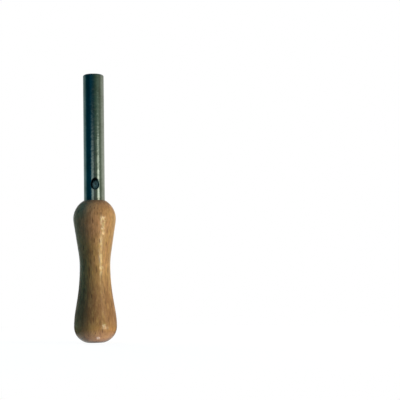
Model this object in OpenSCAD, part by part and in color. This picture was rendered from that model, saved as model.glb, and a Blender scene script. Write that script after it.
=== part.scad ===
// Bird call: a turned wooden mouthpiece that carries a metal whistle tube.
// Breath enters the mouth face, runs up the bore, through the windway over the
// block, and across the slanted window, whose upper edge splits the jet.
// The frame stands on the centre of the mouth face, +Z runs up the axis,
// and the window faces -Y.

/* [Handle] */
// Length of the wooden handle, mouth face to shoulder top
handle_l = 67.2; // [60:0.1:76]
// Largest diameter of the ball-shaped shoulder around the tube
ball_d = 20.3; // [18:0.1:23]
// Largest diameter of the heel above the mouth face
heel_d = 20.2; // [18:0.2:23]
// Smallest diameter, at the waist
waist_d = 14.5; // [13:0.1:16]
// Height of the waist above the mouth face
waist_z = 35.8; // [32:0.2:40]
// Diameter of the flat mouth face
mouth_flat_d = 8.2; // [7:0.2:10]
// Radius that rolls the heel over into the mouth face
heel_round_r = 7.8; // [7:0.1:8.6]
// Radius of the long swelling curve above the heel
heel_curve_r = 41.5; // [20:0.5:50]
// Radius of the hollow curve below the waist
waist_lower_r = 93; // [40:1:110]
// Radius of the hollow curve above the waist
waist_upper_r = 44; // [20:1:55]
// Width of the flat ring left round the tube at the shoulder top
shoulder_ring_w = 0.3; // [0.2:0.05:0.6]

/* [Breath passage] */
// Diameter of the blow bore through the handle
blow_bore_d = 4; // [3:0.1:5]
// Chamfer at the mouth of the blow bore
blow_chamfer = 0.5; // [0.2:0.1:0.8]

/* [Tube] */
// Outer diameter of the metal tube
tube_d = 10; // [8.5:0.1:11]
// Wall thickness of the tube
tube_wall = 1; // [0.85:0.05:1.3]
// Length of tube that stands out of the handle
tube_free_l = 61.2; // [45:0.1:80]
// Depth to which the tube is seated in the handle
socket_depth = 15; // [10:0.5:20]
// Rounding of the open end, on the outside
rim_outer_r = 0.6; // [0.3:0.05:0.6]
// Rounding of the open end, on the inside
rim_inner_r = 0.15; // [0.05:0.05:0.2]
// Chamfer that leads the tail of the tube into its socket
tail_chamfer = 0.4; // [0.2:0.05:0.6]

/* [Window] */
// Diameter of the slanted cut that makes the window
window_d = 4.1; // [3.4:0.1:4.8]
// Angle of the cut below the horizontal
window_slant = 43; // [35:1:52]
// Height of the window's centre above the shoulder top
window_rise = 7.9; // [6:0.1:12]

/* [Block] */
// Length of the block that fills the tube below the window
block_l = 12; // [8:0.5:14]
// Height of the windway between the block's flat and the tube
windway_h = 0.8; // [0.5:0.05:1.2]
// Length of the bevel that leads air into the windway
windway_lead = 2; // [1:0.1:3]
// Extra depth of the windway at the start of that bevel
windway_lead_h = 0.8; // [0.4:0.1:1.2]

/* [Fits] */
// Radial clearance of the tube in its socket
socket_clearance = 0.05; // [0.02:0.01:0.1]
// Radial clearance of the block in the tube
block_clearance = 0.02; // [0.01:0.01:0.05]

/* [Hidden] */
$fn = 96;

// Overrun of every cutting shape past the face that it cuts
cut_overrun = 0.5;
// Largest gap left between a curve and the chords that draw it
curve_gap = 0.008;

ball_r = ball_d / 2;
heel_r = heel_d / 2;
waist_r = waist_d / 2;
mouth_flat_r = mouth_flat_d / 2;
blow_bore_r = blow_bore_d / 2;

tube_r = tube_d / 2;
bore_r = tube_r - tube_wall;
tail_z = handle_l - socket_depth;
open_end_z = handle_l + tube_free_l;

// The ball's centre lies below the shoulder top by the height of its cap,
// and the cap ends at the ring round the tube
shoulder_ring_r = tube_r + socket_clearance + shoulder_ring_w;
ball_z = handle_l - sqrt(pow(ball_r, 2) - pow(shoulder_ring_r, 2));

// The heel's round passes through the edge of the mouth face
heel_round_centre_r = heel_r - heel_round_r;
heel_z = sqrt(pow(heel_round_r, 2) - pow(mouth_flat_r - heel_round_centre_r, 2));
heel_start_angle = atan2(-heel_z, mouth_flat_r - heel_round_centre_r);

window_r = window_d / 2;
window_z = handle_l + window_rise;
// The slanted cut leaves the tube's inner wall at this height, where the
// windway's roof ends and the block stops
block_top_z = window_z - window_r / cos(window_slant) - tube_wall * tan(window_slant);
block_r = bore_r - block_clearance;
windway_floor_r = bore_r - windway_h;

// Points of an arc in the radius and height plane, from angle a0 to a1,
// leaving out the first point where skip is 1
function arc(centre_r, centre_z, rad, a0, a1, skip = 0) =
    let (
        step = 2 * acos(1 - curve_gap / rad),
        n = max(2, ceil(abs(a1 - a0) / step))
    )
    [for (i = [skip:n]) let (a = a0 + (a1 - a0) * i / n)
        [centre_r + rad * cos(a), centre_z + rad * sin(a)]];

// Two arcs that bend opposite ways start and end upright, dz apart in height
// and dr in radius, with a straight flank that touches both. The largest sum
// of their radii leaves no flank at all.
function largest_radii(dz, dr) = (pow(dz, 2) + pow(dr, 2)) / (2 * dr);

// Angle of that flank from the axis, for arcs whose radii add up to radii
function flank_angle(dz, dr, radii) =
    let (span = sqrt(pow(dz, 2) + pow(radii - dr, 2)))
    atan2(dz, radii - dr) - acos(min(1, radii / span));

// Below the waist, both curves shrink alike where the handle is too short
lower_dz = waist_z - heel_z;
lower_dr = heel_r - waist_r;
lower_fit = min(1, largest_radii(lower_dz, lower_dr) / (heel_curve_r + waist_lower_r));
heel_curve = heel_curve_r * lower_fit;
waist_lower = waist_lower_r * lower_fit;
lower_flank = flank_angle(lower_dz, lower_dr, heel_curve + waist_lower);

// Above the waist, the ball is fixed and only the hollow curve can shrink
upper_dz = ball_z - waist_z;
upper_dr = ball_r - waist_r;
waist_upper = min(waist_upper_r, largest_radii(upper_dz, upper_dr) - ball_r);
upper_flank = flank_angle(upper_dz, upper_dr, ball_r + waist_upper);

// Outline of the turned handle, from the mouth face up to the shoulder ring
handle_outline = concat(
    [[0, 0]],
    arc(heel_round_centre_r, heel_z, heel_round_r, heel_start_angle, 0),
    arc(heel_r - heel_curve, heel_z, heel_curve, 0, lower_flank, skip = 1),
    arc(waist_r + waist_lower, waist_z, waist_lower, 180 + lower_flank, 180),
    arc(waist_r + waist_upper, waist_z, waist_upper, 180, 180 - upper_flank, skip = 1),
    arc(0, ball_z, ball_r, -upper_flank, acos(shoulder_ring_r / ball_r)),
    [[0, handle_l]]
);

// Section of the tube's wall, with its chamfered tail and rounded open end
tube_section = concat(
    [[bore_r, tail_z],
     [tube_r - tail_chamfer, tail_z],
     [tube_r, tail_z + tail_chamfer]],
    arc(tube_r - rim_outer_r, open_end_z - rim_outer_r, rim_outer_r, 0, 90),
    arc(bore_r + rim_inner_r, open_end_z - rim_inner_r, rim_inner_r, 90, 180)
);

// Breath passage, chamfered where it meets the lips
module blow_bore() {
    translate([0, 0, -cut_overrun])
        cylinder(h = tail_z + 2 * cut_overrun, r = blow_bore_r);
    translate([0, 0, -cut_overrun])
        cylinder(
            h = blow_chamfer + cut_overrun,
            r1 = blow_bore_r + blow_chamfer + cut_overrun,
            r2 = blow_bore_r
        );
}

// Seat for the tube's tail, whose floor the tube stands on
module socket() {
    translate([0, 0, tail_z])
        cylinder(h = socket_depth + cut_overrun, r = tube_r + socket_clearance);
}

// Cutter that enters the tube's front from above and stops short of its back
module window_cut() {
    outside = window_r * tan(window_slant) + cut_overrun;
    inside = (tube_wall + window_r * sin(window_slant)) / cos(window_slant) + cut_overrun;
    translate([0, -tube_r, window_z])
        rotate([-(90 + window_slant), 0, 0])
            translate([0, 0, -outside])
                cylinder(h = outside + inside, r = window_r);
}

// Side view of what the windway takes off the block: a flat, and a bevel
// below it that widens the way in
module windway_side() {
    bottom = block_top_z - block_l;
    polygon([
        [-block_r - cut_overrun, bottom - cut_overrun],
        [-windway_floor_r + windway_lead_h, bottom - cut_overrun],
        [-windway_floor_r + windway_lead_h, bottom],
        [-windway_floor_r, bottom + windway_lead],
        [-windway_floor_r, block_top_z + cut_overrun],
        [-block_r - cut_overrun, block_top_z + cut_overrun]
    ]);
}

module handle() {
    color([0.72, 0.53, 0.33])
        difference() {
            rotate_extrude() polygon(handle_outline);
            blow_bore();
            socket();
        }
}

module tube() {
    color([0.72, 0.74, 0.75])
        difference() {
            rotate_extrude() polygon(tube_section);
            window_cut();
        }
}

module block() {
    color([0.80, 0.64, 0.32])
        difference() {
            translate([0, 0, block_top_z - block_l])
                cylinder(h = block_l, r = block_r);
            translate([-tube_r, 0, 0])
                rotate([90, 0, 90])
                    linear_extrude(height = tube_d) windway_side();
        }
}

handle();
tube();
block();
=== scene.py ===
"""Bird call: a turned beech handle that carries a polished whistle tube, with a windway block inside.

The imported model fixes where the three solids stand. This file gives each of them a smooth surface
worked out with numpy and a finish made of nodes, and sets up a small studio round them.
"""

import math

import bpy
import numpy as np
from bpy.props import FloatProperty, FloatVectorProperty, IntProperty, PointerProperty
from bpy.types import NodeSocket, Operator, Panel, PropertyGroup
from mathutils import Matrix, Vector


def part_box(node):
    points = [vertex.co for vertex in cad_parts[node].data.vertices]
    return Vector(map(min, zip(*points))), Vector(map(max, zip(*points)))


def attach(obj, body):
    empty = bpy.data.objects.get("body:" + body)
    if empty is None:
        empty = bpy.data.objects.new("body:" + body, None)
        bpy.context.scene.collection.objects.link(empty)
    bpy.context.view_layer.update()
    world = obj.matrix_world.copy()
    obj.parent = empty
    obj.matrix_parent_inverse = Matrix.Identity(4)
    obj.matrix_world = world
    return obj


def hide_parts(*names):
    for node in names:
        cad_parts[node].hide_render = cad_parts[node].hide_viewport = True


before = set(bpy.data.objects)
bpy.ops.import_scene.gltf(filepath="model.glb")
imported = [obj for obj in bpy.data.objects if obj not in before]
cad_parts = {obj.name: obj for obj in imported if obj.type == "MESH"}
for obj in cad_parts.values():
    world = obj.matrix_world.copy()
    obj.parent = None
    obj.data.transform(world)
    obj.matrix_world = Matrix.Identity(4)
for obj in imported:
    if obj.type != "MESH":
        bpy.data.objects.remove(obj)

bl_info = {
    "name": "Bird call",
    "version": (1, 0, 0),
    "blender": (4, 5, 0),
    "location": "3D View > Sidebar > Bird Call",
    "description": "Builds the turned handle, the whistle tube and its block round the packed model",
    "category": "Add Mesh",
}

MM = 0.001
DEGREE = math.pi / 180
BODY = "root"

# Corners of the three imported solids, from which the sizes below start
HANDLE_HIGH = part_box("handle")[1]
TUBE_LOW, TUBE_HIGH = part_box("tube")
BLOCK_LOW, BLOCK_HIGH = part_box("block")


def setting(kind, **limits):
    """A maker of settings of one kind, which takes a name, a description and a default."""
    def make(name, description, default):
        return kind(name=name, description=description, default=default, **limits)

    return make


# Kinds of setting: lengths in metres, angles in radians, shares from 0 to 1, linear colours,
# numbers of columns round an axis, focal lengths, powers of lamps, and brightnesses of cards
length = setting(FloatProperty, min=0.0, unit="LENGTH", subtype="DISTANCE", precision=5)
angle = setting(FloatProperty, unit="ROTATION", subtype="ANGLE")
share = setting(FloatProperty, min=0.0, max=1.0, subtype="FACTOR")
colour = setting(FloatVectorProperty, min=0.0, max=1.0, size=3, subtype="COLOR")
facets = setting(IntProperty, min=64)
focal = setting(FloatProperty, min=10.0, subtype="DISTANCE_CAMERA")
power = setting(FloatProperty, min=0.0, subtype="POWER")
brightness = setting(FloatProperty, min=0.0)


class HandleSizes(PropertyGroup):
    """Sizes of the turned handle, which is also the mouthpiece."""

    top: length("Shoulder height", "Height of the shoulder top", HANDLE_HIGH.z)
    ball_radius: length("Ball radius", "Radius of the ball-shaped shoulder", HANDLE_HIGH.x)
    heel_radius: length("Heel radius", "Largest radius of the heel", 10.1 * MM)
    heel_round: length("Heel round", "Radius that rolls the heel into the mouth face", 7.8 * MM)
    heel_curve: length("Heel curve", "Radius of the long swelling above the heel", 41.5 * MM)
    waist_radius: length("Waist radius", "Smallest radius of the handle", 7.25 * MM)
    waist_height: length("Waist height", "Height of the waist above the mouth face", 35.8 * MM)
    waist_lower: length("Hollow below", "Radius of the hollow below the waist", 93 * MM)
    waist_upper: length("Hollow above", "Radius of the hollow above the waist", 44 * MM)
    mouth_radius: length("Mouth face", "Radius of the flat mouth face", 4.1 * MM)
    blow_radius: length("Blow bore", "Radius of the blow bore", 2.0 * MM)
    blow_chamfer: length("Blow chamfer", "Chamfer at the mouth of the blow bore", 0.5 * MM)
    socket_radius: length("Socket", "Radius of the seat for the tube", TUBE_HIGH.x + 0.05 * MM)
    socket_floor: length("Socket floor", "Height of the floor that the tube stands on", TUBE_LOW.z)
    ring_radius: length("Shoulder ring", "Outer radius of the flat ring", TUBE_HIGH.x + 0.35 * MM)
    edge: length("Softened edge", "Cut-back of each rubbed edge", 0.1 * MM)
    ring_edge: length("Ring edge", "Cut-back of the shoulder ring's two edges", 0.06 * MM)
    columns: facets("Columns", "Facets round the axis", 224)


class TubeSizes(PropertyGroup):
    """Sizes of the whistle tube and its slanted window."""

    radius: length("Tube radius", "Outer radius of the tube", TUBE_HIGH.x)
    wall: length("Wall", "Wall thickness of the tube", 1.0 * MM)
    tail: length("Tail height", "Height of the tube's lower end in its socket", TUBE_LOW.z)
    top: length("Open end", "Height of the tube's open end", TUBE_HIGH.z)
    rim_outer: length("Outer rim round", "Rounding of the open end, outside", 0.6 * MM)
    rim_inner: length("Inner rim round", "Rounding of the open end, inside", 0.15 * MM)
    tail_chamfer: length("Tail chamfer", "Chamfer of the lower end", 0.4 * MM)
    window_radius: length("Window radius", "Radius of the slanted cut", 2.05 * MM)
    window_slant: angle("Window slant", "Angle of the cut below the horizontal", 43 * DEGREE)
    window_height: length("Window height", "Height of the window's centre", 75.1 * MM)
    window_margin: length("Window margin", "Wall remeshed above and below the window", 0.9 * MM)
    edge: length("Window edge", "Cut-back of the window's burnished edge", 0.07 * MM)
    columns: facets("Columns", "Facets round the axis", 256)


class BlockSizes(PropertyGroup):
    """Sizes of the block that fills the tube below the window."""

    radius: length("Block radius", "Radius of the round side", BLOCK_HIGH.x)
    foot: length("Block foot", "Height of the block's lower end", BLOCK_LOW.z)
    top: length("Block top", "Height of the block's upper end", BLOCK_HIGH.z)
    floor: length("Windway floor", "Distance of the flat from the axis", 3.2 * MM)
    lead: length("Lead length", "Length of the bevel that leads air in", 2.0 * MM)
    lead_depth: length("Lead depth", "Extra depth of the windway at the foot", 0.8 * MM)
    edge: length("Block edge", "Radius of the block's two end edges", 0.12 * MM)
    columns: facets("Columns", "Facets round the axis", 192)


class Finishes(PropertyGroup):
    """Colours and gloss of the wood, the nickel plate and the brass."""

    beech_light: colour("Light beech", "Wood between the growth lines", (0.54, 0.305, 0.106))
    beech_dark: colour("Dark beech", "Wood along the growth lines", (0.25, 0.118, 0.044))
    beech_red: colour("Red beech", "Wood in the redder patches", (0.57, 0.285, 0.132))
    beech_fleck: colour("Ray fleck", "Short dark rays in the wood", (0.10, 0.048, 0.018))
    # Partly painted light: end grain colour, made lighter and redder as light bounced up from the floor
    beech_end_and_bounce: colour("End grain", "Wood where its fibres are cut across", (0.42, 0.2, 0.12))
    # Painted shade: this darker colour is laid round the tube's foot and in the bores, where shade
    # falls
    painted_joint_and_bore_shade: colour("Handling grime", "Darkened varnish round the tube", (0.09, 0.055, 0.03))
    ring_width: length("Growth ring", "Width of one growth ring", 2.1 * MM)
    varnish: share("Varnish", "Strength of the varnish coat", 0.9)
    varnish_roughness: share("Varnish roughness", "Roughness of the varnish coat", 0.04)
    nickel: colour("Nickel", "Clean nickel plate", (0.635, 0.665, 0.60))
    nickel_dull: colour("Dulled nickel", "Plate dulled by handling", (0.48, 0.505, 0.435))
    nickel_speck: colour("Speck", "Small dull specks in the plate", (0.22, 0.21, 0.17))
    nickel_foot: colour("Yellowed nickel", "Plate close above the wood", (0.38, 0.31, 0.2))
    # Tarnish inside the tube; the same colour is laid on the window's cut and rim as painted shade
    tarnish_and_window_shade: colour("Tarnish", "Inside of the tube", (0.006, 0.04, 0.055))
    # Painted highlight: a light, greenish colour on the window's right edge
    painted_edge_highlight: colour("Burnish", "Right edge of the window", (0.42, 0.54, 0.45))
    # Painted shade and painted light on the wall behind the window: dark all round, and light at its
    # middle, where light through the window falls
    stain: colour("Stain", "Wall opposite the window", (0.04, 0.11, 0.12))
    bore_light_patch: colour("Bright stain", "Cleanest spot of that wall", (0.92, 0.95, 0.95))
    brass: colour("Brass", "Turned brass", (0.56, 0.40, 0.15))
    brass_dull: colour("Dull brass", "Brass browned by breath", (0.24, 0.15, 0.06))


class StudioSettings(PropertyGroup):
    """The camera's place, the lamps' power and the cards' brightness. The camera's bearing runs
    from the window side towards +X."""

    distance: length("Camera distance", "Level distance from the axis", 450 * MM)
    height: length("Camera height", "Height above the floor", 22.932 * MM)
    bearing: angle("Camera bearing", "Bearing of the camera round the axis", -5.0 * DEGREE)
    yaw: angle("Camera yaw", "Turn to the right of the axis", 6.4569 * DEGREE)
    pitch: angle("Camera pitch", "Tilt above the level", 5.5828 * DEGREE)
    roll: angle("Camera roll", "Turn about the line of sight", -1.1557 * DEGREE)
    lens: focal("Lens", "Focal length", 84.359)
    key: power("Key lamp", "Power of the large soft lamp to the right", 3.42)
    fill: power("Fill lamp", "Power of the weak lamp beside the camera", 0.5)
    cool: power("Cool lamp", "Power of the weak blue lamp to the left", 0.84)
    back: power("Back lamp", "Power of the lamp behind the part", 2.2)
    rim: power("Rim lamp", "Power of the lamp behind to the right", 0.7)
    strip: brightness("Strip", "Bright strip to the right, which the plate mirrors", 1.2)
    gleam: brightness("Gleam", "Brighter foot of the strip, which the varnish mirrors", 18.0)
    near: brightness("Near patch", "Soft patch of floor to the right, which the heel mirrors", 4.6)
    spot: brightness("Spot", "Small bright patch before the foot, which the heel mirrors", 3.2)
    side: brightness("Side card", "Dim card to the left, which the plate mirrors", 0.36)
    paper: brightness("Paper", "Bright paper on the floor to the right, which lights the heel", 0.38)
    doorstep: brightness("Doorstep", "Bright floor close before the foot, which lights it", 0.52)


# Steps of the curve that rounds a corner, and the points that a rounded corner then has
SOFT_STEPS = 4
SOFT_POINTS = SOFT_STEPS + 3
# Rows of wall that are remeshed round the window, and one in how many columns to either side
WINDOW_ROWS = 37
WINDOW_SIDE = 9
# Rings between that grid and the window, and how closely they crowd up to the window
WALL_RINGS = 9
CROWDING = 1.5
# Sharpness of the eased corner between the block's round side and its flat
FLAT_SHARPNESS = 70


def arc(centre, radius, start, end, count):
    """Points of an arc: centre + radius (cos t, sin t), with t running evenly from start to end."""
    t = np.linspace(start, end, count)
    return np.stack([centre[0] + radius * np.cos(t), centre[1] + radius * np.sin(t)], axis=1)


def flank_angle(rise, reach, radii):
    """Lean of the straight line that touches two arcs bending opposite ways.

    The arcs start and end upright, rise apart in height and reach apart in radius, and their radii
    add up to radii. The lean is the direction from one centre to the other, atan2(rise, radii -
    reach), less the angle whose cosine is radii over the distance between the centres.
    """
    span = math.hypot(rise, radii - reach)
    return math.atan2(rise, radii - reach) - math.acos(min(1.0, radii / span))


def soften(outline, cut):
    """Rounds the corners of a closed outline where cut is above nought.

    A corner P with unit directions u back and v on becomes the curve
    (1-t)^2 (P + cut u) + 2 t (1-t) P + t^2 (P + cut v), and a point at P + 2 cut u before it and
    one at P + 2 cut v after it keep the shading of straight sides straight.
    """
    back = np.roll(outline, 1, axis=0) - outline
    on = np.roll(outline, -1, axis=0) - outline
    back /= np.linalg.norm(back, axis=1, keepdims=True)
    on /= np.linalg.norm(on, axis=1, keepdims=True)
    t = np.linspace(0.0, 1.0, SOFT_STEPS + 1)
    along_back = np.concatenate([[2.0], (1 - t) ** 2, [0.0]])[None, :, None]
    along_on = np.concatenate([[0.0], t**2, [2.0]])[None, :, None]
    shift = cut[:, None, None] * (along_back * back[:, None] + along_on * on[:, None])
    points = outline[:, None] + shift
    kept = np.repeat((cut > 0)[:, None], SOFT_POINTS, axis=1)
    kept[:, 0] = True
    return points[kept]


def around(radius, height, a):
    """Places (radius sin a, -radius cos a, height), for bearings a from the window side."""
    return np.stack(np.broadcast_arrays(radius * np.sin(a), -radius * np.cos(a), height), axis=-1)


def bearings(columns):
    """Bearings a_i = 2 pi i / columns - pi of a turned surface's columns."""
    return 2 * np.pi * np.arange(columns) / columns - np.pi


def turned(outline, columns):
    """Surface of revolution of an outline of (radius, height) points.

    Point j of the outline stands at every bearing a_i, and its number there is j * columns + i.
    """
    return around(outline[:, :1], outline[:, 1:], bearings(columns)).reshape(-1, 3)


def quads(rows, columns, closed=False):
    """Corner numbers of a grid's quads. Columns close on themselves, and rows do if closed is set."""
    j = np.arange(rows if closed else rows - 1)[:, None]
    i = np.arange(columns)[None, :]
    right, above = (i + 1) % columns, (j + 1) % rows
    corners = [j * columns + i, j * columns + right, above * columns + right, above * columns + i]
    return np.stack(np.broadcast_arrays(*corners), axis=2)


def make_mesh(name, vertices, faces, material):
    """Puts vertices and faces, a list of arrays of quads or triangles, into a smooth-shaded object.

    Vertices that no face uses are dropped first.
    """
    faces = [part.reshape(-1, part.shape[-1]) for part in faces]
    used, corners = np.unique(np.concatenate([part.ravel() for part in faces]), return_inverse=True)
    totals = np.concatenate([np.full(len(part), part.shape[1]) for part in faces])
    starts = np.cumsum(totals) - totals

    mesh = bpy.data.meshes.new(name)
    mesh.vertices.add(len(used))
    mesh.vertices.foreach_set("co", vertices[used].astype(np.float32).ravel())
    mesh.loops.add(len(corners))
    mesh.loops.foreach_set("vertex_index", corners.astype(np.int32).ravel())
    mesh.polygons.add(len(totals))
    mesh.polygons.foreach_set("loop_start", starts.astype(np.int32))
    mesh.polygons.foreach_set("use_smooth", np.ones(len(totals), dtype=bool))
    mesh.update(calc_edges=True)
    mesh.validate()
    mesh.materials.append(material)

    made = bpy.data.objects.new(name, mesh)
    bpy.context.scene.collection.objects.link(made)
    return made


def fit_piece(name, node, surface, material):
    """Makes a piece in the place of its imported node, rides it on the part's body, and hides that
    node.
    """
    piece = make_mesh(name, *surface, material)
    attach(piece, BODY)
    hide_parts(node)


def handle_surface(size):
    """Vertices and faces of the handle, turned from a closed section that goes up its outside and
    down the socket and the blow bore.

    The outside is the heel's round, the long heel curve, a straight flank, the hollow below the
    waist, the hollow above it, a second flank and the ball. Each touches the next.
    """
    round_centre = size.heel_radius - size.heel_round
    inset = size.mouth_radius - round_centre
    heel_z = math.sqrt(size.heel_round**2 - inset**2)
    ball_z = size.top - math.sqrt(size.ball_radius**2 - size.ring_radius**2)
    waist_z = size.waist_height
    lower = flank_angle(
        waist_z - heel_z, size.heel_radius - size.waist_radius, size.heel_curve + size.waist_lower
    )
    upper = flank_angle(
        ball_z - waist_z, size.ball_radius - size.waist_radius, size.ball_radius + size.waist_upper
    )
    curve_centre = (size.heel_radius - size.heel_curve, heel_z)
    lower_centre = (size.waist_radius + size.waist_lower, waist_z)
    upper_centre = (size.waist_radius + size.waist_upper, waist_z)
    mouth = math.atan2(-heel_z, inset)
    cap = math.acos(size.ring_radius / size.ball_radius)
    outside = np.concatenate([
        arc((round_centre, heel_z), size.heel_round, mouth, 0, count=44),
        arc(curve_centre, size.heel_curve, 0, lower, count=16)[1:],
        arc(lower_centre, size.waist_lower, math.pi + lower, math.pi, count=30),
        arc(upper_centre, size.waist_upper, math.pi, math.pi - upper, count=24)[1:],
        arc((0, ball_z), size.ball_radius, -upper, cap, count=44),
    ])
    inside = np.array([
        [size.socket_radius, size.top],
        [size.socket_radius, size.socket_floor],
        [size.blow_radius, size.socket_floor],
        [size.blow_radius, size.blow_chamfer],
        [size.blow_radius + size.blow_chamfer, 0],
    ])
    cut = np.zeros(len(outside) + len(inside))
    cut[0] = size.edge
    cut[len(outside):] = size.edge
    cut[len(outside) - 1:len(outside) + 1] = size.ring_edge
    outline = soften(np.concatenate([outside, inside]), cut)
    return turned(outline, size.columns), [quads(len(outline), size.columns, closed=True)]


def cut_depth(size, a, b, radius):
    """Depth along the slanted cut at which its line (a, b) meets a wall of this radius.

    The cut's own axes are a, level, b, upwards across the cut, and the depth, inwards and down.
    The depth is (tube radius - sqrt(radius^2 - a^2) - b sin slant) / cos slant.
    """
    lean = size.window_slant
    return (size.radius - np.sqrt(radius**2 - a**2) - b * math.sin(lean)) / math.cos(lean)


def cut_place(size, a, b, depth):
    """Place of a point of the slanted cut: x = a, y = -tube radius + b sin slant + depth cos slant,
    z = window height + b cos slant - depth sin slant."""
    lean = size.window_slant
    y = -size.radius + b * math.sin(lean) + depth * math.cos(lean)
    z = size.window_height + b * math.cos(lean) - depth * math.sin(lean)
    return np.stack(np.broadcast_arrays(a, y, z), axis=-1)


def border(rows, columns, width):
    """Numbers of the vertices round a rectangle of the grid, anticlockwise from its lower left.

    Rows run upwards and columns to the right, and width is the grid's number of columns.
    """
    grid = rows[:, None] * width + columns
    return np.concatenate([grid[0, :-1], grid[:-1, -1], grid[-1, :0:-1], grid[:0:-1, 0]])


def window_rings(size, outer_loop, inner_loop):
    """Rings of points from the grid round the window, over its edge, through the wall and out again.

    Each ring has one point for each vertex of the two loops. On a wall, a ring keeps the cut's
    polar angle and its polar radius runs from the loop's to the window's. An edge is the curve
    (1-t)^2 P + 2 t (1-t) E + t^2 Q, with the corner E and a point at the edge's cut-back from it on
    either side. The wall of the cut is straight lines along its depth.
    """
    lean, edge, reach = size.window_slant, size.edge, size.window_radius
    spread = np.linspace(1.0, 0.0, WALL_RINGS + 2)[1:-1, None] ** CROWDING
    t = np.linspace(0.0, 1.0, SOFT_STEPS + 1)[:, None, None]

    def rings(loop, radius, inwards):
        b = (loop[:, 1] + size.radius) * math.sin(lean)
        b += (loop[:, 2] - size.window_height) * math.cos(lean)
        far, turn = np.hypot(loop[:, 0], b), np.unwrap(np.arctan2(b, loop[:, 0]))

        def at(polar_radius, extra=0.0):
            a, b = polar_radius * np.cos(turn), polar_radius * np.sin(turn)
            return cut_place(size, a, b, cut_depth(size, a, b, radius) + extra)

        near = reach + 2 * edge
        curve = (1 - t) ** 2 * at(reach + edge) + 2 * t * (1 - t) * at(reach)
        curve += t**2 * at(reach, inwards)
        return np.concatenate([loop[None], at(near + (far - near) * spread), at(near)[None], curve])

    outer = rings(outer_loop, size.radius, edge)
    inner = rings(inner_loop, size.radius - size.wall, -edge)
    through = np.array([0.1, 0.3, 0.5, 0.7, 0.9])[:, None, None]
    return np.concatenate([outer, (1 - through) * outer[-1] + through * inner[-1], inner[::-1]])


def tube_surface(size):
    """Vertices and faces of the tube: its turned wall, with the grid round the window taken out,
    inside and outside, and replaced by the rings of window_rings."""
    inner = size.radius - size.wall
    half = size.window_radius / math.cos(size.window_slant) + size.window_margin
    drop = size.wall * math.tan(size.window_slant)
    rise = np.linspace(-half, half, WINDOW_ROWS)
    outer_wall = np.stack([np.full_like(rise, size.radius), size.window_height + rise], axis=1)
    inner_wall = np.stack([np.full_like(rise, inner), size.window_height - drop + rise], axis=1)
    outer_centre = (size.radius - size.rim_outer, size.top - size.rim_outer)
    inner_centre = (inner + size.rim_inner, size.top - size.rim_inner)
    tail = np.array([
        [inner, size.tail],
        [size.radius - size.tail_chamfer, size.tail],
        [size.radius, size.tail + size.tail_chamfer],
    ])
    support = 0.3 * size.rim_outer
    shoulder = np.array([[size.radius, outer_centre[1] - support]])
    throat = np.array([[inner, inner_centre[1] - support]])
    outline = np.concatenate([
        tail, outer_wall, shoulder,
        arc(outer_centre, size.rim_outer, 0, np.pi / 2, count=12),
        arc(inner_centre, size.rim_inner, np.pi / 2, np.pi, count=7),
        throat, inner_wall[::-1],
    ])
    cut = np.zeros(len(outline))
    cut[:len(tail)] = size.edge
    outline = soften(outline, cut)

    columns, rows = size.columns, len(outline)
    vertices = turned(outline, columns)
    faces = quads(rows, columns, closed=True)
    middle, sides = columns // 2, columns // WINDOW_SIDE
    across = np.arange(middle - sides, middle + sides + 1)
    outer_rows = len(tail) * SOFT_POINTS + np.arange(WINDOW_ROWS)
    inner_rows = rows - 1 - np.arange(WINDOW_ROWS)
    kept = np.ones(faces.shape[:2], dtype=bool)
    kept[outer_rows[0]:outer_rows[-1], across[0]:across[-1]] = False
    kept[inner_rows[-1]:inner_rows[0], across[0]:across[-1]] = False

    outer_loop = border(outer_rows, across, columns)
    inner_loop = border(inner_rows, across, columns)
    rings = window_rings(size, vertices[outer_loop], vertices[inner_loop])
    count = len(outer_loop)
    numbers = len(vertices) + np.arange((len(rings) - 2) * count).reshape(-1, count)
    numbers = np.concatenate([outer_loop[None], numbers, inner_loop[None]])
    ring_faces = numbers.ravel()[quads(len(rings), count)]
    vertices = np.concatenate([vertices, rings[1:-1].reshape(-1, 3)])
    return vertices, [faces[kept], ring_faces]


def block_surface(size):
    """Vertices and faces of the block, a round bar with a flat for the windway.

    At bearing a and height z the side lies at (R^-p + (f / cos a)^-p)^(-1/p), which is the nearer
    of the round side R and the flat f with their corner eased, and f is cut back linearly over the
    lead. Each end edge is a quarter circle, and each end face runs in to a point on the axis.
    """
    tall = size.top - size.foot
    t = np.linspace(0, np.pi / 2, 6)
    end_z, end_inset = size.edge * (1 - np.cos(t)), size.edge * (1 - np.sin(t))
    lead_z = size.lead * np.append(np.linspace(0.1, 1.0, 10), 1.1)
    long_z = np.linspace(1.3 * size.lead, tall - 2 * size.edge, 10)
    z = np.concatenate([end_z, lead_z, long_z, (tall - end_z)[::-1]])
    inset = np.concatenate([end_inset, np.zeros(len(lead_z) + len(long_z)), end_inset[::-1]])
    a = bearings(size.columns)
    flat = size.floor - size.lead_depth * np.clip(1 - z / size.lead, 0, 1)[:, None]
    facing = np.maximum(np.cos(a), 1e-3)
    nearer = 1 + (size.radius * facing / flat) ** FLAT_SHARPNESS
    radius = size.radius * nearer ** (-1 / FLAT_SHARPNESS) - inset[:, None]
    shrink = np.array([0.12, 0.4, 0.7, 0.93])[:, None]
    radius = np.concatenate([shrink * radius[0], radius, shrink[::-1] * radius[-1]])
    z = size.foot + np.pad(z, len(shrink), mode="edge")[:, None]
    rows, columns = radius.shape
    poles = [[0, 0, size.foot], [0, 0, size.top]]
    vertices = np.concatenate([around(radius, z, a).reshape(-1, 3), poles])
    i = np.arange(columns)
    on = (i + 1) % columns
    last = (rows - 1) * columns
    foot_fan = np.stack([np.full(columns, rows * columns), on, i], axis=1)
    top_fan = np.stack([np.full(columns, rows * columns + 1), last + i, last + on], axis=1)
    return vertices, [quads(rows, columns), foot_fan, top_fan]


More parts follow.
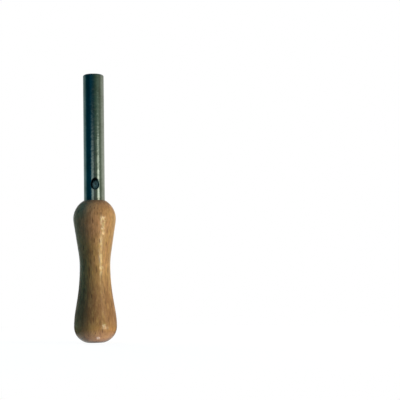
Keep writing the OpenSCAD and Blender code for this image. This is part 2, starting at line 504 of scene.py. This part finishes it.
def plug(node, sockets):
    """Gives each of a node's sockets, by name or number, a link or a plain value."""
    for name, value in sockets.items():
        if isinstance(value, NodeSocket):
            node.id_data.links.new(value, node.inputs[name])
        else:
            node.inputs[name].default_value = value


def add(near, kind, sockets=None, **settings):
    """Adds a node with its settings and sockets to the tree near, or to the tree of the link near."""
    made = near.id_data.nodes.new("ShaderNode" + kind)
    for name, value in settings.items():
        setattr(made, name, value)
    plug(made, sockets or {})
    return made


def calc(operation, *values, clamp=False):
    """A Math node's result, from plain numbers and at least one link."""
    near = next(value for value in values if isinstance(value, NodeSocket))
    sockets = dict(enumerate(values))
    return add(near, "Math", sockets, operation=operation, use_clamp=clamp).outputs[0]


def times(first, second):
    """The product of two values, each a link or a plain number."""
    return calc("MULTIPLY", first, second)


def weigh(start, *terms, clamp=False):
    """Start plus the sum of value times weight over the terms, which are such pairs."""
    total = start
    for value, weight in terms[:-1]:
        total = calc("MULTIPLY_ADD", value, weight, total)
    return calc("MULTIPLY_ADD", *terms[-1], total, clamp=clamp)


def remap(value, old, new, kind="LINEAR"):
    """Carries a value from the old pair of limits to the new, and holds it at its ends."""
    sockets = {"Value": value, "From Min": old[0], "From Max": old[1], "To Min": new[0],
               "To Max": new[1]}
    return add(value, "MapRange", sockets, interpolation_type=kind).outputs["Result"]


def ease(value, low, high):
    """A smooth step: 0 where value is below low, 1 above high. It falls instead if high < low."""
    return remap(value, (low, high), (0.0, 1.0), "SMOOTHSTEP")


def rgba(shade):
    """A link as it is, or three numbers as an opaque colour."""
    return shade if isinstance(shade, NodeSocket) else (*shade, 1.0)


def blend(amount, first, second, blend_type="MIX"):
    """Mixes two colours, each a link or three numbers, by an amount that is a link."""
    sockets = {0: amount, 6: rgba(first), 7: rgba(second)}
    return add(amount, "Mix", sockets, data_type="RGBA", blend_type=blend_type).outputs[2]


def layers(ground, *coats):
    """Lays coats, pairs of an amount and a colour, over a ground, each over the one before."""
    for amount, shade in coats:
        ground = blend(amount, ground, shade)
    return ground


def stretch(place, scale=(1, 1, 1), turn=(0, 0, 0), shift=(0, 0, 0)):
    """Scales, then turns, then shifts coordinates."""
    sockets = {"Vector": place, "Scale": scale, "Rotation": turn, "Location": shift}
    return add(place, "Mapping", sockets).outputs[0]


def noise(place, scale, detail=2.0, roughness=0.5):
    """Soft noise over stretched coordinates, from 0 to 1 with its middle at 0.5."""
    sockets = {"Vector": stretch(place, scale), "Scale": 1.0, "Detail": detail,
               "Roughness": roughness}
    return add(place, "TexNoise", sockets).outputs["Fac"]


def bump(height, depth, strength=1.0, ground=None):
    """The normal of a relief of the given depth in millimetres, on a ground's normal if any."""
    sockets = {"Height": height, "Distance": depth * MM, "Strength": strength}
    if ground is not None:
        sockets["Normal"] = ground
    return add(height, "Bump", sockets).outputs[0]


def distance(place, centre):
    """Distance of the coordinates from a point."""
    sockets = {0: place, 1: centre}
    return add(place, "VectorMath", sockets, operation="DISTANCE").outputs["Value"]


def split(place):
    """The three parts of coordinates."""
    return add(place, "SeparateXYZ", {"Vector": place}).outputs


def hypotenuse(first, second):
    """The root of the sum of two values' squares."""
    return calc("SQRT", calc("ADD", calc("POWER", first, 2.0), calc("POWER", second, 2.0)))


def from_axis(place):
    """Distance from the part's axis, and height, both in the unit of the coordinates."""
    parts = split(place)
    return hypotenuse(parts[0], parts[1]), parts[2]


def glow(tree, shade, strength):
    """A shader that gives light of its own."""
    return add(tree, "Emission", {"Color": rgba(shade), "Strength": strength}).outputs[0]


def mix(amount, first, second):
    """Mixes two shaders."""
    return add(amount, "MixShader", {0: amount, 1: first, 2: second}).outputs[0]


def new_material(name):
    """An empty material, its tree, and the object's own coordinates."""
    material = bpy.data.materials.new(name)
    material.use_nodes = True
    tree = material.node_tree
    tree.nodes.clear()
    return material, tree, add(tree, "TexCoord").outputs["Object"]


def new_finish(name):
    """A material, its shader, and the piece's own coordinates in millimetres."""
    material, tree, own = new_material(name)
    shader = add(tree, "BsdfPrincipled")
    add(tree, "OutputMaterial", {"Surface": shader.outputs[0]})
    return material, shader, stretch(own, (1 / MM, 1 / MM, 1 / MM))


# A wave texture of this scale repeats once in a unit of its coordinates
WAVE_SCALE = 0.31416
# Middle of the redder patch at the left of the shoulder, in millimetres
RED_PATCH = (-4.0, -9.0, 56.0)


def beech(finish, size):
    """Varnished beech: growth rings of a log whose heart lies off the axis, streaks and pores drawn out
    along the height, dark ray flecks, redder patches, and browner end grain that is also made lighter
    as painted light from below. Painted shade darkens the wood round the tube's foot, in the bores, and
    from the waist down, less so on the heel. The coat has runs and gaps, and is worn thin below the
    waist."""
    material, shader, place = new_finish("varnished_beech")
    radius, height = from_axis(place)
    log = stretch(place, turn=(0.02, -0.035, 0.0), shift=(58.0, -12.0, 0.0))
    rings = add(
        place, "TexWave",
        {"Vector": stretch(log, (1, 1, 0.1)), "Scale": WAVE_SCALE / (finish.ring_width / MM),
         "Distortion": 7.0, "Detail": 3.0, "Detail Scale": 0.22, "Detail Roughness": 0.6},
        wave_type="RINGS", rings_direction="Z", wave_profile="SAW",
    ).outputs["Fac"]
    streak = noise(place, (1.0, 1.0, 0.07), 2.0, 0.55)
    fibre = noise(place, (2.4, 2.4, 0.3), 3.0, 0.6)
    pore = noise(place, (6.0, 6.0, 0.9), 2.0, 0.6)
    mottle = noise(place, (0.6, 0.6, 0.32), 3.0, 0.6)
    broad = noise(place, (0.14, 0.14, 0.05), 2.0)
    cells = add(place, "TexVoronoi", {"Vector": stretch(place, (1.25, 1.25, 0.16)), "Scale": 1.0})
    chosen = add(place, "SeparateColor", {"Color": cells.outputs["Color"]}).outputs[0]
    fleck = times(ease(cells.outputs["Distance"], 0.42, 0.16), ease(chosen, 0.4, 0.95))
    grain_and_painted_shade = weigh(
        -0.25,
        (calc("POWER", rings, 2.5), 0.2),
        (ease(streak, 0.38, 0.64), 0.3),
        (ease(fibre, 0.4, 0.64), 0.32),
        (ease(mottle, 0.36, 0.64), 0.32),
        (ease(broad, 0.35, 0.7), 0.25),
        # The two terms by height are painted shade: the wood darkens from 38 mm down to 20 mm, and is
        # painted lighter again below 11.5 mm, on the heel
        (ease(height, 38.0, 20.0), 0.5),
        (ease(height, 11.5, 6.0), -0.42),
        clamp=True,
    )
    blush = ease(noise(place, (0.2, 0.2, 0.09), 3.0, 0.6), 0.45, 0.65)
    patch = ease(distance(place, RED_PATCH), 12.5, 4.0)
    # Faces that look up or down the axis get the end grain colour, which is partly painted light from
    # below
    facing = split(add(place, "TexCoord").outputs["Normal"])[2]
    end_grain_and_bounce = calc("POWER", calc("ABSOLUTE", facing), 1.5)
    ragged = weigh(-1.2, (noise(place, (0.9, 0.9, 0.9)), 2.4))
    # Painted shade round the tube's foot and in the bores, where shade falls; the same mask also makes
    # the varnish rougher
    joint = times(ease(calc("ADD", radius, ragged), 8.6, 5.2), ease(height, 61.0, 65.0))
    bores = ease(radius, size.socket_radius / MM + 0.25, size.socket_radius / MM)
    joint_and_bore_shade = calc("MAXIMUM", times(joint, 0.65), times(bores, 0.6))
    wood = layers(
        finish.beech_light,
        (calc("MAXIMUM", times(blush, 0.6), patch), finish.beech_red),
        (grain_and_painted_shade, finish.beech_dark),
        (times(ease(pore, 0.55, 0.75), 0.3), finish.beech_dark),
        (times(fleck, 0.85), finish.beech_fleck),
        (times(end_grain_and_bounce, 0.8), finish.beech_end_and_bounce),
        (joint_and_bore_shade, finish.painted_joint_and_bore_shade),
    )

    smear = noise(place, (0.5, 0.5, 0.2), 3.0)
    brushed = noise(place, (0.55, 0.55, 0.4), 4.0, 0.66)
    lathe = noise(place, (0.1, 0.1, 1.6), 2.0)
    relief = weigh(0.0, (pore, -0.1), (fibre, 0.1), (fleck, -0.15), (lathe, 0.2))
    drops = noise(place, (0.8, 0.8, 0.8), 3.0, 0.6)
    uneven = weigh(-0.11, (height, 0.055), clamp=True)
    worn = times(ease(height, 34.0, 29.5), ease(height, 7.8, 9.4))
    elsewhere = stretch(place, shift=(2, 5, 3))
    gaps = ease(noise(elsewhere, (1.1, 1.1, 0.6)), 0.57, 0.47)
    gaps = times(gaps, times(uneven, 0.8))
    thin = calc("MAXIMUM", times(worn, 0.96), gaps)
    plug(shader, {
        "Base Color": wood,
        "Roughness": weigh(0.26, (smear, 0.22), (pore, 0.15), (joint_and_bore_shade, 0.2)),
        "Normal": bump(relief, 0.03, 0.8, bump(brushed, 0.15)),
        "Specular IOR Level": 0.3,
        "Coat Weight": weigh(finish.varnish, (thin, -finish.varnish)),
        "Coat Normal": bump(drops, 0.2, uneven),
        "Coat Roughness": finish.varnish_roughness,
        "Coat IOR": 1.5,
        "Coat Tint": (1.0, 0.97, 0.9, 1.0),
    })
    return material


def window_rim(place, size):
    """Two masks, each 1 in the window's slanted cut and a narrow rim round it, and 0 further off: one
    for its middle and left, which carries painted shade, and one for its right, which carries a painted
    highlight.

    The reach from the cut's axis is the root of x^2 + b^2, where b is the distance upwards across
    the cut, (y + tube radius) sin slant + (z - window height) cos slant. Only the front counts.
    """
    parts = split(place)
    lean, reach = size.window_slant, size.window_radius / MM
    start = size.radius / MM * math.sin(lean) - size.window_height / MM * math.cos(lean)
    across = weigh(start, (parts[1], math.sin(lean)), (parts[2], math.cos(lean)))
    near = ease(hypotenuse(parts[0], across), reach + 0.16, reach + 0.02)
    near = times(near, calc("LESS_THAN", parts[1], 0.0))
    right = times(near, ease(parts[0], 0.7, 1.7))
    return calc("SUBTRACT", near, right), right


def nickel_plate(finish, size):
    """Polished nickel plate on drawn tube: fine lengthwise lines, cloudy handling marks, small dull
    specks, a yellowed foot at the wood and brass worn bare at the rim. The inside is oxidised dark and
    dull, and the window's cut and rim are painted dark as painted shade. The cut's right edge is a
    light, less metallic painted highlight, and the wall behind the window is painted shade round a pool
    of painted light."""
    material, shader, place = new_finish("polished_nickel_plate")
    outer, inner, top = size.radius / MM, (size.radius - size.wall) / MM, size.top / MM
    radius, height = from_axis(place)
    drawn = noise(place, (7.0, 7.0, 0.12), 3.0, 0.6)
    cloud = noise(place, (0.35, 0.35, 0.16), 4.0, 0.6)
    speck = noise(place, (2.8, 2.8, 2.2), 2.0, 0.5)
    handled = ease(cloud, 0.4, 0.72)
    specks = ease(speck, 0.62, 0.74)
    foot = ease(weigh(height, (cloud, 3.0)), 71.5, 68.5)
    rim = times(ease(height, top - 0.5, top - 0.1), ease(speck, 0.42, 0.6))
    # The first mask paints shade on the window's cut and rim, the second a highlight on its right edge
    window_shade, right_edge_highlight = window_rim(place, size)
    inside = times(ease(radius, outer - 0.008, outer - 0.06), ease(height, top - 0.2, top - 1.0))
    # The inside's tarnish and the window's painted shade share one mask
    inside = calc("MAXIMUM", inside, window_shade)
    bore = ease(radius, inner + 0.06, inner)
    # The wall behind the window: painted shade, with a painted pool of light round this point, where
    # light through the window would fall
    opposite = (0.9, inner, size.window_height / MM + 0.4)
    from_light_patch = weigh(distance(place, opposite), (speck, 1.2))
    light_patch = ease(from_light_patch, 2.9, 0.9)
    plate = layers(
        finish.nickel,
        (handled, finish.nickel_dull),
        (times(ease(drawn, 0.45, 0.75), 0.3), finish.nickel_dull),
        (times(specks, 0.35), finish.nickel_speck),
        (times(foot, 0.45), finish.nickel_foot),
        (times(rim, 0.6), finish.brass),
        (times(inside, 0.98), finish.tarnish_and_window_shade),
        # Painted highlight on the window's right edge
        (right_edge_highlight, finish.painted_edge_highlight),
        (bore, blend(light_patch, finish.stain, finish.bore_light_patch)),
    )

    ripple = noise(place, (0.5, 0.5, 0.6), 2.0)
    relief = weigh(0.0, (drawn, 0.5), (specks, -0.6), (cloud, 1.2))
    plug(shader, {
        "Base Color": plate,
        "Roughness": weigh(0.09, (handled, 0.05), (drawn, 0.05), (specks, 0.1), (inside, 0.3)),
        "Normal": bump(relief, 0.012, 0.8, bump(ripple, 0.06)),
        "Metallic": weigh(1.0, (calc("MAXIMUM", bore, right_edge_highlight), -0.85)),
    })
    return material


def turned_brass(finish):
    """Turned brass: fine rings from the lathe, browned where breath has reached it."""
    material, shader, place = new_finish("turned_brass")
    rings = add(
        place, "TexWave", {"Vector": place, "Scale": 1.6, "Distortion": 1.2, "Detail": 2.0},
        wave_type="RINGS", rings_direction="Z",
    ).outputs["Fac"]
    bands = noise(place, (0.4, 0.4, 9.0), 2.0)
    stain = ease(noise(place, (0.7, 0.7, 0.5), 4.0, 0.6), 0.35, 0.65)
    plug(shader, {
        "Base Color": blend(stain, finish.brass, finish.brass_dull),
        "Roughness": weigh(0.24, (stain, 0.25), (bands, 0.12)),
        "Normal": bump(weigh(0.0, (rings, 0.5), (bands, 0.5)), 0.02, 0.6),
        "Metallic": 1.0,
    })
    return material


def colour_row(value, shades):
    """The colour for a value, straight between the pairs of (value, colour) in shades."""
    ramp = add(value, "ValToRGB", {"Fac": value})
    stops = ramp.color_ramp.elements
    stops.remove(stops[-1])
    for _ in shades[1:]:
        stops.new(1.0)
    for stop, (place, shade) in zip(stops, shades):
        stop.position = place
        stop.color = rgba(shade)
    return ramp.outputs["Color"]


def seen_ray(tree):
    """Two masks: 1 for a ray from the camera, and 1 for one off metal or through glass, which show
    the background as the camera does. Both are 0 for the light that falls on the part."""
    rays = add(tree, "LightPath").outputs
    mirrored = calc("MAXIMUM", rays["Is Glossy Ray"], rays["Is Transmission Ray"])
    return rays["Is Camera Ray"], mirrored


WHITE = (1.0, 1.0, 1.0)
# What stands round the part near eye level: bearing from the camera in degrees, and linear colour
SURROUNDINGS = (
    (-180, (0.500, 0.540, 0.540)),
    (-155, (0.240, 0.310, 0.320)),
    (-138, (0.140, 0.200, 0.215)),
    (-118, (0.120, 0.180, 0.190)),
    (-104, (0.066, 0.125, 0.140)),
    (-95, (0.015, 0.060, 0.080)),
    (-84, (0.000, 0.021, 0.034)),
    (-50, (0.000, 0.017, 0.032)),
    (-34, (0.002, 0.036, 0.068)),
    (-20, (0.004, 0.038, 0.060)),
    (-6, (0.006, 0.038, 0.052)),
    (10, (0.022, 0.060, 0.056)),
    (26, (0.048, 0.092, 0.072)),
    (46, (0.105, 0.155, 0.125)),
    (62, (0.112, 0.148, 0.116)),
    (78, (0.110, 0.132, 0.100)),
    (98, (0.295, 0.322, 0.280)),
    (126, (0.370, 0.380, 0.345)),
    (155, (0.370, 0.385, 0.360)),
    (180, (0.500, 0.540, 0.540)),
)
CEILING = (0.05, 0.09, 0.12)
# The warm glow low down at the camera's side, and its middle bearing from the camera
WARMTH = (0.050, 0.020, 0.012)
WARM_BEARING = 10 * DEGREE


def make_world(studio):
    """A white background for the camera, and for all other rays the surroundings of the part: a
    colour for each bearing atan2(x, -y), which dims as the height rises and passes into the
    ceiling's, with a warm glow low down at the camera's side. Varnish and metal see white straight
    behind the part."""
    world = bpy.data.worlds.new("studio")
    world.use_nodes = True
    tree = world.node_tree
    tree.nodes.clear()
    ray = add(tree, "TexCoord").outputs["Generated"]
    parts = split(stretch(ray, turn=(0, 0, -studio.bearing)))
    bearing = calc("ARCTAN2", parts[0], times(parts[1], -1.0))
    along = weigh(0.5, (bearing, 0.5 / math.pi))
    shades = [(degrees / 360 + 0.5, shade) for degrees, shade in SURROUNDINGS]
    level = remap(parts[2], (0.12, 0.24), (1.35, 0.92))
    sockets = {0: colour_row(along, shades), "Scale": level}
    dimmed = add(level, "VectorMath", sockets, operation="SCALE").outputs[0]
    off_middle = calc("ABSOLUTE", calc("SUBTRACT", bearing, WARM_BEARING))
    warm = times(ease(parts[2], 0.2, 0.11), ease(off_middle, 0.65, 0.2))
    dimmed = blend(warm, dimmed, WARMTH, blend_type="ADD")
    camera_ray, mirrored = seen_ray(tree)
    behind = times(mirrored, ease(calc("ABSOLUTE", bearing), 2.88, 3.12))
    shown = layers(
        dimmed,
        (ease(parts[2], 0.3, 0.75), CEILING),
        (calc("MAXIMUM", camera_ray, behind), WHITE),
    )
    background = add(tree, "Background", {"Color": shown, "Strength": 1.0})
    add(tree, "OutputWorld", {"Surface": background.outputs[0]})
    bpy.context.scene.world = world


def pale_floor():
    """A pale matt floor that keeps the part's shadow. To the camera it is lifted to the white of
    the background, fully so away from the part. Varnish and metal see it bright close to the part
    and dark further off, and don't see it beyond 0.36 m. From below it can be seen through."""
    material, tree, place = new_material("pale_floor")
    radius = from_axis(place)[0]
    tone = remap(noise(place, (300, 300, 300), 3.0), (0.0, 1.0), (0.32, 0.38))
    matt = add(tree, "BsdfDiffuse", {"Color": tone}).outputs[0]
    dim = add(tree, "BsdfDiffuse", {"Color": (0.12, 0.12, 0.12, 1.0)}).outputs[0]
    lifted = add(tree, "AddShader", {0: dim, 1: glow(tree, WHITE, 0.935)}).outputs[0]
    pale = mix(ease(radius, 0.09, 0.22), lifted, glow(tree, WHITE, 1.0))
    clear = add(tree, "BsdfTransparent").outputs[0]
    glare = glow(tree, (0.97, 1.0, 0.98), remap(radius, (0.010, 0.022), (0.6, 0.03)))
    image = mix(ease(radius, 0.26, 0.36), glare, clear)
    camera_ray, mirrored = seen_ray(tree)
    shown = mix(mirrored, mix(camera_ray, matt, pale), image)
    below = add(tree, "NewGeometry").outputs["Backfacing"]
    add(tree, "OutputMaterial", {"Surface": mix(below, shown, clear)})
    return material


def card_light(name, strength, shades, low, high):
    """A card's own light, on its inner side alone. The card is whole up to the height low and has
    faded away at high. Its colour follows the sum of reach and height, as pairs of the two."""
    material, tree, place = new_material(name)
    reach, height = from_axis(place)
    ramp = colour_row(calc("ADD", reach, height), shades)
    inner_side = add(tree, "NewGeometry").outputs["Backfacing"]
    fading = times(times(ease(height, high, low), strength), inner_side)
    clear = add(tree, "BsdfTransparent").outputs[0]
    shown = add(tree, "AddShader", {0: clear, 1: glow(tree, ramp, fading)})
    add(tree, "OutputMaterial", {"Surface": shown.outputs[0]})
    return material


# Radii of the floor's rings
FLOOR_RINGS = (0.004, 0.02, 0.06, 0.12, 0.25, 0.5, 1.0, 2.0)
FLOOR_COLUMNS = 96


def make_floor():
    """A disc on the level of the mouth face, open under it: rings of radius r_j at bearing a_i."""
    outline = np.stack([FLOOR_RINGS, np.zeros(len(FLOOR_RINGS))], axis=1)
    faces = quads(len(FLOOR_RINGS), FLOOR_COLUMNS)[..., ::-1]
    make_mesh("floor", turned(outline, FLOOR_COLUMNS), [faces], pale_floor())


# Columns of a card
CARD_COLUMNS = 17


def make_card(name, first, last, outline, material, lights):
    """A card that the camera doesn't see: its outline of (reach, height) points carried along an
    arc of bearings. It either lights matt surfaces or is mirrored by varnish and plate."""
    reach, height = np.array(outline).T[..., None]
    places = around(reach, height, np.linspace(first, last, CARD_COLUMNS))
    faces = quads(len(reach), CARD_COLUMNS)[:, :-1]
    card = make_mesh(name, places.reshape(-1, 3), [faces], material)
    card.visible_camera = False
    card.visible_diffuse = lights
    card.visible_glossy = not lights
    card.visible_shadow = False
    card.visible_transmission = False
    return card


def light_only(light, target):
    """Keeps a lamp's or card's light for one object."""
    lit = bpy.data.collections.new(light.name + "_lights")
    lit.objects.link(bpy.data.objects[target])
    light.light_linking.receiver_collection = lit


# Outlines of the cards as (reach, height): one that only stands, one that lies on the floor and
# sweeps up, one low before the heel that faces it, and three that only lie
STANDING = ((0.3, 0.08), (0.3, 0.11), (0.3, 0.15), (0.3, 0.2))
SWEEP = (
    (0.12, 0.0006), (0.18, 0.0006), (0.25, 0.002), (0.275, 0.01), (0.285, 0.03), (0.285, 0.055),
    (0.285, 0.1),
)
FACING_HEEL = ((0.00737, 0.0004), (0.0078, 0.00115), (0.0083, 0.0020), (0.0087, 0.0027))
LYING_NEAR = ((0.024, 0.0005), (0.04, 0.0005), (0.08, 0.0005), (0.118, 0.0005))
LYING = ((0.009, 0.0003), (0.03, 0.0003), (0.1, 0.0003), (0.28, 0.0003))
LYING_CLOSE = ((0.0065, 0.0005), (0.012, 0.0005), (0.018, 0.0005), (0.024, 0.0005))
# Colours of the sweeping card and of the near patch, by reach and height together
GLEAM = (
    (0.120, (0.00, 0.00, 0.00)),
    (0.135, (0.75, 0.70, 0.62)),
    (0.165, (0.75, 0.70, 0.62)),
    (0.180, (0.32, 0.28, 0.19)),
    (0.215, (0.32, 0.28, 0.19)),
    (0.232, (0.74, 0.66, 0.50)),
    (0.270, (0.80, 0.72, 0.54)),
    (0.285, (0.78, 0.74, 0.50)),
    (0.297, (0.56, 0.74, 0.26)),
    (0.322, (0.32, 0.48, 0.12)),
    (0.337, (0.20, 0.30, 0.07)),
    (0.350, (1.00, 0.95, 0.76)),
    (0.375, (1.00, 0.95, 0.76)),
    (0.385, (0.00, 0.00, 0.00)),
)
NEAR_GLOW = ((0.024, (0.0, 0.0, 0.0)), (0.045, (1.0, 0.98, 0.72)), (0.118, (1.0, 0.98, 0.72)))
# Heights between which a card fades, for one that lies too low to fade
WHOLE = (0.2, 0.3)
# Each card's name, bearings from the camera's in degrees, outline, colours, fading heights, the
# only piece that mirrors it, and whether it lights matt surfaces
CARDS = (
    ("strip", 35.5, 56.5, STANDING, ((0.0, (0.97, 1.0, 0.9)),), (0.08, 0.17), None, False),
    ("gleam", 36.5, 52.5, SWEEP, GLEAM, WHOLE, "turned_handle", False),
    ("near", 31, 69, LYING_NEAR, NEAR_GLOW, WHOLE, "turned_handle", False),
    ("spot", 3, 16, FACING_HEEL, ((0.0, (0.80, 0.96, 1.0)),), WHOLE, None, False),
    ("side", -29.5, -5.5, STANDING, ((0.0, (0.86, 1.0, 0.92)),), (0.085, 0.175), None, False),
    ("paper", 14, 82, LYING, ((0.0, (1.0, 0.95, 0.86)),), WHOLE, None, True),
    ("doorstep", -28, 48, LYING_CLOSE, ((0.0, (0.96, 0.92, 0.98)),), WHOLE, None, True),
)


def make_cards(studio):
    """The cards that varnish and plate mirror and those that light the heel, each of the brightness
    of the setting of its name."""
    for name, left, right, outline, shades, fading, piece, lights in CARDS:
        material = card_light(name + "_light", getattr(studio, name), shades, *fading)
        first, last = studio.bearing + left * DEGREE, studio.bearing + right * DEGREE
        card = make_card(name + "_card", first, last, outline, material, lights)
        if piece:
            light_only(card, piece)


# Each lamp's name, bearing from the camera's and elevation in degrees, colour, width, and the
# only piece that it lights
LAMPS = (
    ("key", 62, 8, (0.935, 0.94, 0.83), 0.28, None),
    ("fill", -4, -5, (0.45, 0.92, 1.0), 0.09, "whistle_tube"),
    ("cool", -78, 40, (0.0, 0.52, 1.0), 0.3, None),
    ("back", -160, 20, (1.0, 0.97, 0.92), 0.42, None),
    ("rim", 122, 6, (0.8, 0.95, 1.0), 0.3, None),
)
# Distance of the lamps from the point on the axis that they face
LAMP_DISTANCE = 0.6
LAMP_TARGET = Vector((0, 0, 0.07))


def make_lamps(studio):
    """Square lamps that face a point on the axis, each of the power of the setting of its name.
    They give matt light only, since the cards are what the glossy finishes mirror. The fill lamp
    is there for the inside of the tube, which it reaches through the window."""
    for name, turn, tilt, shade, width, piece in LAMPS:
        bearing, elevation = studio.bearing + turn * DEGREE, tilt * DEGREE
        data = bpy.data.lights.new(name, "AREA")
        data.shape = "SQUARE"
        data.size = width
        data.energy = getattr(studio, name)
        data.color = shade
        lamp = bpy.data.objects.new(name, data)
        bpy.context.scene.collection.objects.link(lamp)
        back = Vector(around(math.cos(elevation), math.sin(elevation), bearing))
        lamp.location = LAMP_TARGET + LAMP_DISTANCE * back
        lamp.rotation_euler = back.to_track_quat("Z", "Y").to_euler()
        lamp.visible_glossy = False
        lamp.visible_camera = False
        if piece:
            light_only(lamp, piece)


def make_camera(studio):
    """The camera stands at the bearing, level distance and height given. It faces the axis, turns
    right by the yaw, tilts up by the pitch and rolls about its line of sight."""
    data = bpy.data.cameras.new("camera")
    data.sensor_width = 36.0
    data.lens = studio.lens
    data.clip_start, data.clip_end = 0.01, 20.0
    camera = bpy.data.objects.new("camera", data)
    bpy.context.scene.collection.objects.link(camera)
    place = Vector(around(studio.distance, studio.height, studio.bearing))
    turn = (
        Matrix.Rotation(studio.bearing - studio.yaw, 4, "Z")
        @ Matrix.Rotation(math.pi / 2 + studio.pitch, 4, "X")
        @ Matrix.Rotation(studio.roll, 4, "Z")
    )
    camera.matrix_world = Matrix.Translation(place) @ turn
    bpy.context.scene.camera = camera


class BIRDCALL_OT_turn_handle(Operator):
    """Build the turned beech handle"""

    bl_idname = "bird_call.turn_handle"
    bl_label = "Turn Handle"
    bl_options = {"REGISTER", "UNDO"}

    def execute(self, context):
        size = context.scene.call_handle
        wood = beech(context.scene.call_finishes, size)
        fit_piece("turned_handle", "handle", handle_surface(size), wood)
        return {"FINISHED"}


class BIRDCALL_OT_draw_tube(Operator):
    """Build the nickel-plated whistle tube with its slanted window"""

    bl_idname = "bird_call.draw_tube"
    bl_label = "Draw Tube"
    bl_options = {"REGISTER", "UNDO"}

    def execute(self, context):
        size = context.scene.call_tube
        plate = nickel_plate(context.scene.call_finishes, size)
        fit_piece("whistle_tube", "tube", tube_surface(size), plate)
        return {"FINISHED"}


class BIRDCALL_OT_cut_block(Operator):
    """Build the brass block that makes the windway"""

    bl_idname = "bird_call.cut_block"
    bl_label = "Cut Block"
    bl_options = {"REGISTER", "UNDO"}

    def execute(self, context):
        size = context.scene.call_block
        brass = turned_brass(context.scene.call_finishes)
        fit_piece("windway_block", "block", block_surface(size), brass)
        return {"FINISHED"}


class BIRDCALL_OT_set_studio(Operator):
    """Set up the camera, the floor, the cards, the lamps and the background"""

    bl_idname = "bird_call.set_studio"
    bl_label = "Set Up Studio"
    bl_options = {"REGISTER", "UNDO"}

    def execute(self, context):
        studio = context.scene.call_studio
        make_camera(studio)
        make_floor()
        make_cards(studio)
        make_lamps(studio)
        make_world(studio)
        context.scene.view_settings.view_transform = "Standard"
        return {"FINISHED"}


class VIEW3D_PT_bird_call(Panel):
    """Lists the builders of the bird call and the sizes and finishes they use"""

    bl_label = "Bird Call"
    bl_idname = "VIEW3D_PT_bird_call"
    bl_space_type = "VIEW_3D"
    bl_region_type = "UI"
    bl_category = "Bird Call"

    def draw(self, context):
        for group, (kind, operator) in SETTINGS.items():
            box = self.layout.box()
            if operator:
                box.operator(operator.bl_idname)
            for name in kind.__annotations__:
                box.prop(getattr(context.scene, group), name)


# The scene's settings groups, each with the operator that builds from it
SETTINGS = {
    "call_handle": (HandleSizes, BIRDCALL_OT_turn_handle),
    "call_tube": (TubeSizes, BIRDCALL_OT_draw_tube),
    "call_block": (BlockSizes, BIRDCALL_OT_cut_block),
    "call_finishes": (Finishes, None),
    "call_studio": (StudioSettings, BIRDCALL_OT_set_studio),
}
CLASSES = [cls for pair in SETTINGS.values() for cls in pair if cls] + [VIEW3D_PT_bird_call]


def register():
    for cls in CLASSES:
        bpy.utils.register_class(cls)
    for name, (kind, _) in SETTINGS.items():
        setattr(bpy.types.Scene, name, PointerProperty(type=kind))


def unregister():
    for name in SETTINGS:
        delattr(bpy.types.Scene, name)
    for cls in reversed(CLASSES):
        bpy.utils.unregister_class(cls)


def main():
    """Builds the part and its studio."""
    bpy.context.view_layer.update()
    register()
    bpy.ops.bird_call.turn_handle()
    bpy.ops.bird_call.draw_tube()
    bpy.ops.bird_call.cut_block()
    bpy.ops.bird_call.set_studio()


if __name__ == "__main__":
    main()
